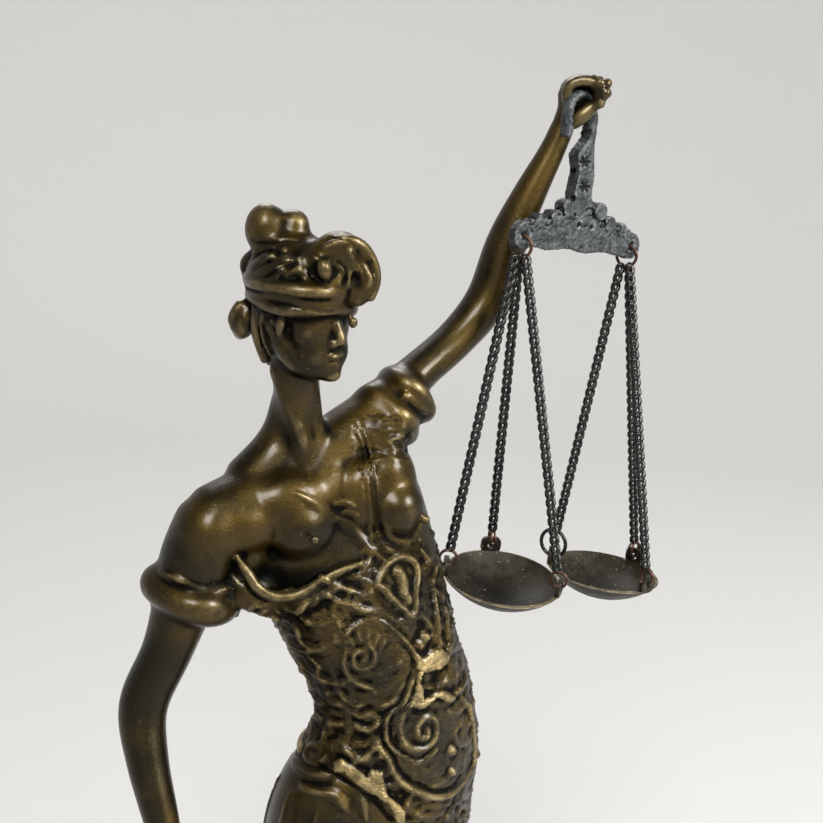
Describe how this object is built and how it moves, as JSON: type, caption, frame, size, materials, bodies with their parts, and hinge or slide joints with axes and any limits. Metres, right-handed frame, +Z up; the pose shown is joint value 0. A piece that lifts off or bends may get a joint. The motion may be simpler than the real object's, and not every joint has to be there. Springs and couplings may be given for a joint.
{
  "type": "lady justice statue",
  "caption": "Bronze figure of a blindfolded woman in a draped dress, with hanging balance scales held high and a lowered sword, on a low round stone base.",
  "frame": {"origin": "middle of the base's underside", "axes": "+Z up, -Y the way the figure faces, +X towards its raised left arm"},
  "size_m": [0.1329, 0.104, 0.3307],
  "materials": {
    "bronze": "dark olive-brown waxed patina, rubbed golden on raised edges",
    "blade_bronze": "dark patina, rubbed along the edges",
    "marble": "polished, black with thin pale veins",
    "pewter": "grainy grey casting, satin",
    "copper": "dull copper-brown wire",
    "gunmetal": "dark gunmetal, glossy on the links' outer sides",
    "pan_bronze": "dark, speckled, rim rubbed bright"
  },
  "bodies": {
    "root": {"figure": "bronze", "left_arm": "bronze", "right_arm": "bronze", "sword": "blade_bronze", "base": "marble", "scale_beam": "pewter", "beam_ring_right": "copper", "beam_ring_left": "copper", "pan_right": "pan_bronze", "chain_right_a": "gunmetal", "chain_right_b": "gunmetal", "chain_right_c": "gunmetal", "pan_ring_right_a": "copper", "pan_ring_right_b": "copper", "pan_ring_right_c": "copper", "pan_left": "pan_bronze", "chain_left_a": "gunmetal", "chain_left_b": "gunmetal", "chain_left_c": "gunmetal", "pan_ring_left_a": "copper", "pan_ring_left_b": "copper", "pan_ring_left_c": "copper"}
  },
  "joints": []
}
